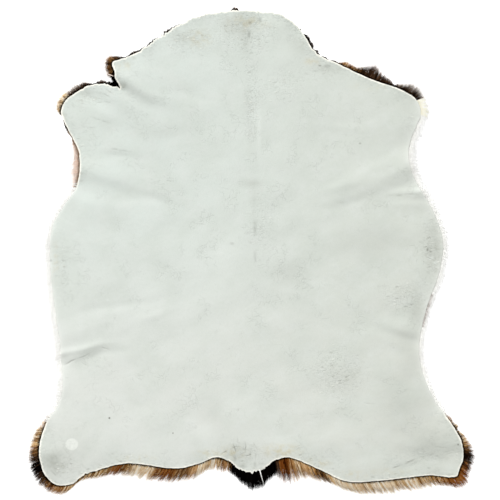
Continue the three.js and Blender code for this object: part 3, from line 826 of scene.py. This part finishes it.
def suede():
    """The tanned flesh side: pale grey-green, cloudy and fibrous, with stains, painted shade towards the
    right and in the wrinkles, painted highlights on folds, and a cream cut edge partly painted as a
    highlight.
    """
    material, shader, wire = new_material("suede")
    at = wire.place()
    cloud = at.noise(80, 4, 0.55)
    fine_cloud = at.noise(24, 5, 0.6)
    fibre = at.stretched(1, 0.45).noise(2.6, 3, 0.7)
    ruffle = at.noise(12, 4, 0.65)
    patches = at.noise(70, 3, 0.6).step(0.5, 0.68)
    front = at.axis(1).step(-330, 160)
    # painted shade: the suede turns greyer towards the right, as if the light falls off there
    right = at.axis(0).step(-260, 380)
    colour = front.mix(tone(200, 203, 197), tone(197, 204, 198))
    colour = (right * 0.7).mix(colour, tone(192, 195, 186))
    colour = (cloud.step(0.36, 0.66) * 0.5).mix(colour, tone(188, 194, 186))
    colour = (fine_cloud.step(0.4, 0.75) * 0.45).mix(colour, tone(201, 205, 200))
    # grey stains, and painted shade at a few of the marks
    colour = (wire.attribute("grey") * (0.2 + 1.2 * ruffle)).mix(colour, tone(157, 160, 151))
    colour = (wire.attribute("ochre") * (1.1 * ruffle.step(0.38, 0.66))).mix(colour, tone(190, 182, 152))
    # pale patches, a few of them painted highlights on folds
    colour = (wire.attribute("pale") * (0.3 + 0.9 * fine_cloud)).mix(colour, tone(210, 215, 209))
    rough = wire.attribute("rough").larger(wire.attribute("rim_near")).larger(patches * 0.1)
    rough = (rough * 1.7).smaller(1.0)
    colour = (rough * ruffle.step(0.54, 0.7) * 0.3).mix(colour, tone(160, 162, 148))
    moved = at.wavy(6, 5).stretched(0.8, 1.2)
    dark_fleck = moved.flecks(13, 0.5) * rough
    small_fleck = moved.flecks(6, 0.55) * rough
    colour = (dark_fleck * 0.22 + small_fleck * 0.13).mix(colour, tone(115, 113, 100))
    pale_fleck = moved.flecks(10, 0.6) * rough
    colour = (pale_fleck * 0.4).mix(colour, tone(219, 220, 210))
    wrinkle = at.noise(17, 2, 0.5, 1.2).line(0.5, 0.022) * at.noise(38, 2, 0.5).step(0.5, 0.64)
    wrinkle = wrinkle.larger(at.stretched(1, 1.6).noise(11, 2, 0.5, 0.8).line(0.48, 0.03) * rough)
    # painted shade along the wrinkle lines, which also sink in the relief below
    colour = (wrinkle * 0.1).mix(colour, tone(134, 136, 127))
    # painted shade in the fine wrinkles, by their depth
    colour = (wire.attribute("scored") * 0.26).mix(colour, tone(113, 113, 102))
    colour = (fibre.step(0.5, 0.75) * 0.14).mix(colour, tone(169, 175, 167))
    small_dark = small_marks(at, DARK_FLECKS) * (0.3 + at.noise(5, 3, 0.7))
    colour = small_dark.mix(colour, tone(69, 67, 58))
    *oval, strength = ROUND_MARK
    disc = at.spot(*oval, hard=0.8) * strength
    colour = (disc * (1.7 * at.noise(5, 3, 0.7))).mix(colour, tone(220, 223, 216))
    colour = wire.attribute("belly").mix(colour, tone(247, 247, 243))
    # the cut edge: cream colour, partly a painted highlight where the edge catches light
    cut = wire.attribute("cut") * (0.6 + 0.6 * ruffle)
    colour = cut.mix(colour, tone(249, 246, 234))
    pits = dark_fleck + small_fleck - pale_fleck + 0.45 * wrinkle
    height = 0.5 * fibre + 0.4 * at.noise(1.1, 2, 0.6) + 0.8 * ruffle - 1.5 * pits
    feed(shader, {"Base Color": colour, "Roughness": 0.86 + 0.12 * fine_cloud, "Specular IOR Level": 0.15,
                  "Normal": relief(wire, height, 0.55, 0.0008)})
    return material


def even_stops(colours):
    return [(k / (len(colours) - 1), tone(*c)) for k, c in enumerate(colours)]


def hair_finish(kind):
    """Makes one kind of hair's material: a shade for each lock, dark at the root with painted shadow from the
    cut edge, and paler at the tip.
    """
    hair = HAIRS[kind]
    _, shader, wire = new_material("hair_" + kind)
    along = wire.attribute("along")
    shade = wire.attribute("shade")
    grain = wire.place().noise(7, 2, 0.6)
    colour = (shade + 0.3 * (grain - 0.5)).ramp(even_stops(hair.shades))
    colour = (along.step(hair.fade, 1.0) * 0.75).mix(colour, tone(*hair.tip))
    # dark roots, with painted shadow where the hair passes under the cut edge
    colour = (1 - wire.attribute("past").step(*ROOT_DARK_AND_SHADOW)).mix(colour, tone(*hair.root))
    feed(shader, {"Base Color": colour, "Roughness": 0.7, "Specular IOR Level": 0.0})


def under_coat():
    """The coat seen from below: brown along the back, fawn to the sides, white at the belly."""
    material, shader, wire = new_material("coat_underside")
    at = wire.place()
    shade = wire.attribute("shade")
    along = wire.attribute("along")
    streak = at.stretched(1, 0.12).noise(3.2, 3, 0.65)
    fawn = (shade * 0.7 + streak * 0.4).ramp(even_stops(HAIRS["fawn"].shades))
    back = at.spot(0, 0, 90, 640) * (0.5 + 0.7 * streak)
    colour = back.mix(fawn, tone(78, 50, 30))
    colour = wire.attribute("belly").mix(colour, tone(240, 236, 224))
    colour = (along.step(0.7, 1.0) * 0.3).mix(colour, tone(214, 190, 154))
    feed(shader, {"Base Color": colour, "Roughness": 0.6, "Normal": relief(wire, streak, 0.5, 0.0006)})
    return material


def pale_floor():
    """A white floor that gives off a little light."""
    material, shader, _ = new_material("pale_floor")
    feed(shader, {"Base Color": (0.6, 0.6, 0.6, 1), "Emission Color": (1, 1, 1, 1), "Emission Strength": 0.72,
                  "Roughness": 0.9, "Specular IOR Level": 0.1})
    return material


# Pieces

def new_piece(name, points, triangles, material, attributes=None, smooth=True):
    """A mesh object from points in millimetres and triangles, with values at its points."""
    mesh = bpy.data.meshes.new(name)
    mesh.from_pydata((np.asarray(points) * MM).tolist(), [], np.asarray(triangles).tolist())
    for key, values in (attributes or {}).items():
        layer = mesh.attributes.new(key, "FLOAT", "POINT")
        layer.data.foreach_set("value", np.asarray(values, dtype=np.float32))
    mesh.polygons.foreach_set("use_smooth", np.full(len(mesh.polygons), smooth))
    mesh.materials.append(material)
    mesh.update()
    piece = bpy.data.objects.new(name, mesh)
    bpy.context.scene.collection.objects.link(piece)
    return piece


def stands_for(piece, node):
    """A piece that takes the place of a solid: joined to the root body, with the solid hidden."""
    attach(piece, "root")
    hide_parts(node)
    return piece


def belly_share(nearest):
    """How white the hair is at rim points, from 0 to 1."""
    white = np.array([float(FRINGES[k].hair in PALE_KINDS) for k in row_order])
    share = np.interp(rim_arcs, row_arcs, white, period=perimeter)
    return share[nearest]


def belly_white(points):
    """How white the coat's underside is at points of it."""
    distance, nearest = from_the_edge(points)
    return belly_share(nearest) * np.exp(-distance / BELLY_REACH)


def wall(over, under, count):
    """Triangles between two rings of this many points, by the number of each ring's first point."""
    here = np.arange(count)
    beside = (here + 1) % count
    return [np.column_stack([over + here, under + here, over + beside]),
            np.column_stack([over + beside, under + here, under + beside])]


def hide_skin():
    """The skin as one closed thin sheet with a rounded cut edge."""
    upper, upper_faces = filled(rim_inset(CUT_PROFILE[0][0]), SKIN_GRAIN, GRID_CLEAR, stroke_points())
    lower, lower_faces = filled(rim_inset(CUT_PROFILE[-1][0]), SKIN_UNDER_GRAIN, UNDER_GRID_CLEAR)
    count = len(rim)
    tops = skin_height(upper, *from_the_edge(upper))
    places = [np.column_stack([upper, tops])]
    rim_top = tops[:count]
    for depth, share in CUT_PROFILE[1:-1]:
        places.append(np.column_stack([rim_inset(depth), rim_top - share * SKIN_THICKNESS]))
    bottoms = skin_height(lower, *from_the_edge(lower)) - SKIN_THICKNESS
    bottoms[:count] = rim_top - SKIN_THICKNESS
    places.append(np.column_stack([lower, bottoms]))
    firsts = np.concatenate([[0], np.cumsum([len(p) for p in places])])
    faces = [upper_faces]
    for over, under in zip(firsts[:-2], firsts[1:-1]):
        faces += wall(over, under, count)
    faces.append(lower_faces[:, ::-1] + firsts[-2])
    whole = np.concatenate(places)
    piece = new_piece("hide_skin", whole, np.concatenate(faces), suede(), skin_values(whole))
    return stands_for(piece, "skin")


def skin_values(points):
    """What the suede shows where: the cut edge with its painted highlight, white flanks, stains with painted
    shade, pale patches with painted highlights, rough patches and the painted shade of wrinkles.
    """
    distance, nearest = from_the_edge(points[:, :2])
    flank = belly_share(nearest)
    breaks = 0.5 + 0.5 * loop_noise(rim_arcs, 20, 120, 20, 12)[nearest]
    cut = (1 - smoothstep(distance, *CUT_CREAM_AND_HIGHLIGHT_WIDTH)) * np.clip(0.6 + 0.5 * breaks, 0, 1)
    return {
        "cut": cut * (1 - flank),
        "belly": flank * np.exp(-distance / WHITE_EDGE[0]) * WHITE_EDGE[1],
        "rim_near": np.exp(-distance / ROUGH_EDGE) * (1 - flank),
        "grey": marks(points, GREY_STAINS_AND_SHADE),
        "ochre": marks(points, OCHRE_STAINS),
        "pale": marks(points, PALE_PATCHES_AND_HIGHLIGHTS),
        "rough": marks(points, ROUGH_PATCHES),
        "scored": stroke_depth(points[:, 0], points[:, 1]) / FULL_WRINKLE_SHADE,
    }


def strand_mesh(paths, radii):
    """Points, triangles, share along and map corners of many thin strands with three sides and a point."""
    number, steps, _ = paths.shape
    rings = steps - 1
    along = unit(np.gradient(paths, axis=1))
    side = np.cross(along, (0.0, 0.0, 1.0))
    side /= np.maximum(np.linalg.norm(side, axis=2, keepdims=True), 1e-6)
    over = np.cross(side, along)
    turns = np.radians([90, 210, 330])
    ring = (np.cos(turns)[:, None] * side[:, :-1, None, :] + np.sin(turns)[:, None] * over[:, :-1, None, :])
    ring = paths[:, :-1, None, :] + radii[:, :-1, None, None] * ring
    points = np.concatenate([ring.reshape(number, rings * 3, 3), paths[:, -1:, :]], axis=1)
    one, cell = [(0, 1, 2)], [((0.0, 0.0), (1.0, 0.0), (0.5, 0.08))]
    level = 0.12 + 0.88 * np.arange(rings) / rings
    for r in range(rings - 1):
        for j in range(3):
            a, b = 3 * r + j, 3 * r + (j + 1) % 3
            left, right = j / 3, (j + 1) / 3
            one += [(a, b + 3, b), (a, a + 3, b + 3)]
            cell += [((left, level[r]), (right, level[r + 1]), (right, level[r])),
                     ((left, level[r]), (left, level[r + 1]), (right, level[r + 1]))]
    last = 3 * (rings - 1)
    for j in range(3):
        one.append((last + j, 3 * rings, last + (j + 1) % 3))
        cell.append(((j / 3, level[-1]), ((j + 0.5) / 3, 1.0), ((j + 1) / 3, level[-1])))
    each = 3 * rings + 1
    triangles = (np.array(one)[None] + (np.arange(number) * each)[:, None, None]).reshape(-1, 3)
    share = np.append(np.repeat(np.arange(rings) / rings, 3), 1.0)
    wide = math.ceil(math.sqrt(number))
    corner = np.stack([np.arange(number) % wide, np.arange(number) // wide], axis=1)
    uv = (corner[:, None, None, :] + 0.08 + 0.84 * np.array(cell)[None]) / wide
    return points.reshape(-1, 3), triangles, np.tile(share, number), uv.reshape(-1, 2)


def strand_piece(name, kind, paths, past, shades):
    """One mesh of many strands, each with a cell of its own in its map, and how far past the edge it is."""
    points, triangles, along, uv = strand_mesh(paths, taper(len(paths), HAIRS[kind].radius))
    each = len(points) // len(paths)
    rings = np.concatenate([np.repeat(past[:, :-1], 3, axis=1), past[:, -1:]], axis=1)
    values = {"along": along, "past": rings.ravel(), "shade": np.repeat(shades, each)}
    piece = new_piece(name, points, triangles, bpy.data.materials["hair_" + kind], values)
    layer = piece.data.uv_layers.new(name="OFBake")
    layer.data.foreach_set("uv", uv.astype(np.float32).ravel())
    return piece


def hair_ways(arc):
    """At distances along the edge: where hair points, straight out, and along the edge, as (x, y)."""
    reach = max(1, round(HAIR_TURN / (perimeter / len(rim))))
    soft = sum(np.roll(rim_out, k, 0) for k in range(-reach, reach + 1))
    out = unit(places_at_edge(arc, soft))
    along = np.stack([-out[:, 1], out[:, 0]], axis=1)
    comb = smoothstep(-out[:, 1], *COMB)[:, None]
    across = at_edge(arc, rim[:, 0])
    turn = np.sign(across) * FAN[0] * np.tanh((across / FAN[1]) ** 2)
    back = np.stack([np.sin(turn), -np.cos(turn)], axis=1)
    way = unit(out * (1 - comb) + back * comb)
    return way - along * (LEAN * (1 - comb[:, 0]) * along[:, 1])[:, None], out, along


def turning(arc):
    """How fast hair fans out round the edge's corners, in radians a millimetre."""
    step = 4.0
    before, after = (unit(hair_ways((arc + side) % perimeter)[0]) for side in (-step, step))
    return np.maximum(before[:, 0] * after[:, 1] - before[:, 1] * after[:, 0], 0) / (2 * step)


def bent_paths(roots, exits, tips):
    """Paths from root to tip that pass an exit point: (number, STRAND_POINTS, 3)."""
    t = np.linspace(0, 1, STRAND_POINTS)[None, :, None]
    control = 2 * exits - 0.5 * (roots + tips)
    return (1 - t) ** 2 * roots[:, None] + 2 * t * (1 - t) * control[:, None] + t ** 2 * tips[:, None]


def taper(number, radius):
    """Radii along strands that thin out to the tip."""
    shape = np.interp(np.linspace(0, 1, STRAND_POINTS), [0, 0.5, 1], [1.0, 0.85, 0.0])
    return STRAND_TIP_RADIUS + (radius - STRAND_TIP_RADIUS) * np.tile(shape, (number, 1))


def hair_clumps():
    """The clumps of hair round the edge, each with its place, kind, lean, length, shade and lift."""
    count = int(perimeter / CLUMP_SPACING)
    arc = (np.arange(count) + random.uniform(-0.4, 0.4, count)) * perimeter / count % perimeter
    kind = hair_kinds(arc, random.uniform(0, 1, count))
    stray = random.normal(0, CLUMP_STRAY, count)
    length = random.uniform(*CLUMP_LENGTH, count)
    shade = random.beta(0.9, 0.9, count) + 0.2 * loop_noise(arc, 24, 110, 16, 6)
    lift = random.uniform(*CLUMP_LIFT, count)
    return Clumps(arc, kind, stray, length, shade, lift)


def hairs_that_show(clumps):
    """For each hair that shows: the number of its clump, how far along the edge it is, and its reach."""
    dense = np.array([HAIRS[kind].dense for kind in clumps.kind])
    hairs = dense * CLUMP_SPACING / 10 * (1 + turning(clumps.arc) * along_the_edge(clumps.arc, "reach"))
    own = np.repeat(np.arange(len(hairs)), np.round(hairs).astype(int))
    arc = (clumps.arc[own] + random.normal(0, CLUMP_WIDTH, len(own))) % perimeter
    reach = along_the_edge(arc, "reach")
    uneven = at_edge(arc, loop_noise(rim_arcs, 16, 90, 20, 5))
    reach = reach * np.clip(1 + uneven * np.interp(reach, [3, 12], [0.8, 0.06]), 0.2, 1.9)
    shown = reach > SHORTEST_REACH
    return own[shown], arc[shown], reach[shown]


def fringe():
    """All the hair that shows past the cut edge, in one piece for each kind and side."""
    clumps = hair_clumps()
    own, arc, reach = hairs_that_show(clumps)
    number, kinds = len(own), clumps.kind[own]
    way, out, along = hair_ways(arc)
    edge = places_at_edge(arc, rim)
    inset = random.uniform(*ROOT_INSET, number)
    ceiling = at_edge(arc, rim_heights()) - SKIN_THICKNESS - SKIN_GAP
    pale = np.isin(kinds, PALE_KINDS)
    level = np.where(pale, random.uniform(*PALE_LEVEL, number), random.beta(*DARK_LEVEL, number))
    full = random.uniform(0, 1, number) < FULL_SHARE
    least, spread, most = FULL_LENGTH
    share = np.where(full, least + random.exponential(spread, number), random.uniform(*SHORT_LENGTH, number))
    straight = np.where(kinds == "black", 0.5, 1.0)
    length = reach * clumps.length[own] * (1 + straight * (np.minimum(share, most) - 1))
    stray = (clumps.stray[own] + random.normal(0, HAIR_STRAY, number)) * length * straight
    aside = (clumps.arc[own] - arc + perimeter / 2) % perimeter - perimeter / 2
    drawn = CLUMP_CLOSING * aside * smoothstep(reach, 4, 16)
    root_xy = edge - out * inset[:, None]
    exit_xy = edge + way * (EXIT_SHARE * length)[:, None] + along * (0.12 * stray + 0.3 * drawn)[:, None]
    tip_xy = edge + way * length[:, None] + along * (stray + drawn)[:, None]
    root_z = ROOT_FLOOR + (ceiling - ROOT_FLOOR) * level
    exit_z = np.where(pale, ceiling + level, EXIT_FLOOR + (ceiling - EXIT_FLOOR) * level * EXIT_SINK)
    tip_z = TIP_FLOOR + level * clumps.lift[own] * np.clip(TIP_LIFT[0] * length, *TIP_LIFT[1:])
    tip_z = np.where(pale, PALE_TIP * ceiling * level, tip_z)
    paths = bent_paths(np.column_stack([root_xy, root_z]), np.column_stack([exit_xy, exit_z]),
                       np.column_stack([tip_xy, tip_z]))
    paths[:, :, 2] = np.maximum(paths[:, :, 2], LOWEST_STRAND)
    past = bent_paths(-inset[:, None], EXIT_SHARE * length[:, None], length[:, None])[:, :, 0]
    past = past + random.normal(0.3, 1.3, (number, 1))
    # hairs lower in the coat are darker and higher ones paler: painted shade and light
    shades = np.clip(clumps.shade[own] + 0.3 * (level - 0.5) + random.normal(0, 0.12, number), 0, 1)
    pieces = []
    for kind in HAIRS:
        hair_finish(kind)
        for half, side in (("left", edge[:, 0] < 0), ("right", edge[:, 0] >= 0)):
            chosen = (kinds == kind) & side
            if chosen.sum() >= FEWEST_STRANDS:
                name = f"fringe_{kind}_{half}"
                pieces.append(strand_piece(name, kind, paths[chosen], past[chosen], shades[chosen]))
    return pieces


def rim_heights():
    """Height of the skin's upper side round the cut edge."""
    return skin_height(rim, np.zeros(len(rim)), np.arange(len(rim)))


def lone_locks():
    """Single pale locks over darker hair."""
    pieces = []
    for index, lock in enumerate(LONE_LOCKS):
        start, end = np.array(lock.start, float), np.array(lock.end, float)
        across = np.array([-(end - start)[1], (end - start)[0]]) / np.linalg.norm(end - start)
        offs = random.normal(0, 0.5, (lock.count, 1))
        ends = random.uniform(0.82, 1.02, (lock.count, 1))
        heights = lock.height + random.normal(0, 0.3, (lock.count, 1))
        root = np.hstack([start + across * offs, heights])
        middle = np.hstack([start + 0.5 * (end - start) * ends + across * offs * 0.8, heights * 0.9])
        tip = np.hstack([start + (end - start) * ends + across * offs * 0.3, heights * 0.5])
        shades = random.uniform(0.3, 1, lock.count)
        past = np.full((lock.count, STRAND_POINTS), 9.0)
        paths = bent_paths(root, middle, tip)
        pieces.append(strand_piece(f"lone_lock_{index}", lock.hair, paths, past, shades))
    return pieces


def coat_body():
    """The mass of pressed hair under the skin, as one closed slab."""
    loop = rim_inset(BODY_INSET)
    points, faces = filled(loop, BODY_GRAIN, BODY_INSET + 5)
    top = skin_height(points, *from_the_edge(points)) - SKIN_THICKNESS - SKIN_GAP
    low = np.minimum(BODY_FLOOR + 0.8 * plane_waves(points[:, 0], points[:, 1], 20, 60, 77), top - 0.8)
    count = len(points)
    places = np.concatenate([np.column_stack([points, top]), np.column_stack([points, low])])
    triangles = np.concatenate([faces, faces[:, ::-1] + count, *wall(0, count, len(loop))])
    return new_piece("coat_body", places, triangles, under_coat(), {
        "belly": np.tile(belly_white(points), 2),
        "shade": np.full(2 * count, 0.5),
        "along": np.full(2 * count, 0.4),
    })


def under_tufts():
    """Flat tufts that overlap from the neck to the rump under the rug, as they press on the floor."""
    low, high = rim.min(0), rim.max(0)
    columns = np.arange(low[0], high[0], TUFT_SPACING[0])
    rows = np.arange(low[1], high[1], TUFT_SPACING[1])
    x, y = (grid.ravel() for grid in np.meshgrid(columns, rows))
    x = x + random.uniform(-0.5, 0.5, len(x)) * TUFT_SPACING[0]
    y = y + random.uniform(-0.5, 0.5, len(y)) * TUFT_SPACING[1]
    length = TUFT_LENGTH * random.uniform(0.7, 1.1, len(x))
    turn = random.normal(0, 0.14, len(x)) + TUFT_FAN * x
    tip = np.stack([x + np.sin(turn) * length, y - np.cos(turn) * length], axis=1)
    root = np.stack([x, y], axis=1)
    keep = np.ones(len(x), dtype=bool)
    for ends, clear in ((root, TUFT_WIDTH), (0.5 * (root + tip), TUFT_WIDTH), (tip, 1.5)):
        keep &= inside_loop(ends, rim) & (from_the_edge(ends)[0] > clear)
    return tuft_piece(root[keep], tip[keep])


def tuft_piece(root, tip):
    """The tufts' mesh: each a flat spindle of six sides."""
    number, count = len(root), 6
    shares = np.array([0.0, 0.22, 0.55, 0.85])
    widths = TUFT_WIDTH * np.array([0.35, 0.95, 1.0, 0.6])
    thick = TUFT_THICKNESS * np.array([0.5, 1.0, 1.0, 0.6])
    way = unit(tip - root)
    side = np.stack([-way[:, 1], way[:, 0]], axis=1)
    turns = np.arange(count) * 2 * math.pi / count
    bend = random.normal(0, 3.0, number)
    layers = random.uniform(0, 1, number)
    heights = np.interp(shares, [0, 0.5, 1], [3.4, 2.2, 1.5])[None] + 0.5 * layers[:, None]
    rings = []
    for k, share in enumerate(shares):
        middle = root + (tip - root) * share + side * (bend * math.sin(math.pi * share))[:, None]
        for turn in turns:
            flat = middle + side * widths[k] * math.cos(turn)
            over = np.maximum(heights[:, k] + thick[k] * math.sin(turn), 0.05)
            rings.append(np.column_stack([flat, over]))
    rings.append(np.column_stack([tip, np.full(number, 0.9)]))
    rings.append(np.column_stack([root, heights[:, 0]]))
    points = np.stack(rings, axis=1).reshape(-1, 3)
    one = []
    for k in range(len(shares) - 1):
        for j in range(count):
            a, b = k * count + j, k * count + (j + 1) % count
            one += [(a, b, b + count), (a, b + count, a + count)]
    last, point, back = (len(shares) - 1) * count, len(shares) * count, len(shares) * count + 1
    one += [(last + j, last + (j + 1) % count, point) for j in range(count)]
    one += [((j + 1) % count, j, back) for j in range(count)]
    each = len(rings)
    triangles = (np.array(one)[None] + (np.arange(number) * each)[:, None, None]).reshape(-1, 3)
    return new_piece("coat_tufts_under", points, triangles, bpy.data.materials["coat_underside"], {
        "along": np.tile([*np.repeat(shares, count), 1.0, 0.0], number),
        "shade": np.repeat(random.uniform(0.3, 0.75, number), each),
        "belly": belly_white(points[:, :2]),
    })


# The studio

def studio():
    """A pale floor, and soft light from above the neck and the left."""
    half = 6000.0
    corners = [(-half, -half, 0), (half, -half, 0), (half, half, 0), (-half, half, 0)]
    floor = new_piece("floor", corners, [(0, 1, 2), (0, 2, 3)], pale_floor(), smooth=False)
    floor.location.z = -0.0002
    world = bpy.data.worlds.new("studio")
    world.use_nodes = True
    feed(world.node_tree.nodes["Background"], {"Color": (1, 1, 1, 1), "Strength": 0.64})
    bpy.context.scene.world = world
    lamp("key_light", "SUN", (-0.6, 1.9, 1.9), energy=2.65, angle=0.5)
    lamp("side_light", "AREA", (-2.4, 0.5, 1.9), energy=13, size=1.4)


def lamp(name, kind, place, **settings):
    """A light that points at the middle of the rug."""
    light = bpy.data.lights.new(name, kind)
    for key, value in settings.items():
        setattr(light, key, value)
    holder = bpy.data.objects.new(name, light)
    holder.location = place
    holder.rotation_euler = (-Vector(place)).to_track_quat("-Z", "Y").to_euler()
    bpy.context.scene.collection.objects.link(holder)


def camera():
    """A camera straight above, which sees what the photograph shows."""
    lens = bpy.data.cameras.new("camera")
    lens.sensor_width = SENSOR
    lens.lens = SENSOR * CAMERA_HEIGHT / (FRAME_PIXELS * MM_PER_PIXEL)
    seen = bpy.data.objects.new("camera", lens)
    seen.location = (FRAME_CENTRE[0] * MM, FRAME_CENTRE[1] * MM, (CAMERA_HEIGHT + SKIN_LEVEL) * MM)
    bpy.context.scene.collection.objects.link(seen)
    bpy.context.scene.camera = seen


camera()
studio()
bpy.context.scene.view_settings.view_transform = "Standard"
skin = hide_skin()
body = stands_for(coat_body(), "coat")
stands_for(under_tufts(), "coat")
locks = [stands_for(piece, "coat") for piece in fringe() + lone_locks()]
low, high = rim.min(0), rim.max(0)
turned = np.roll(rim, -1, 0)
flat_area = 0.5 * abs(np.sum(rim[:, 0] * turned[:, 1] - turned[:, 0] * rim[:, 1]))
((high - low) * MM).tolist()
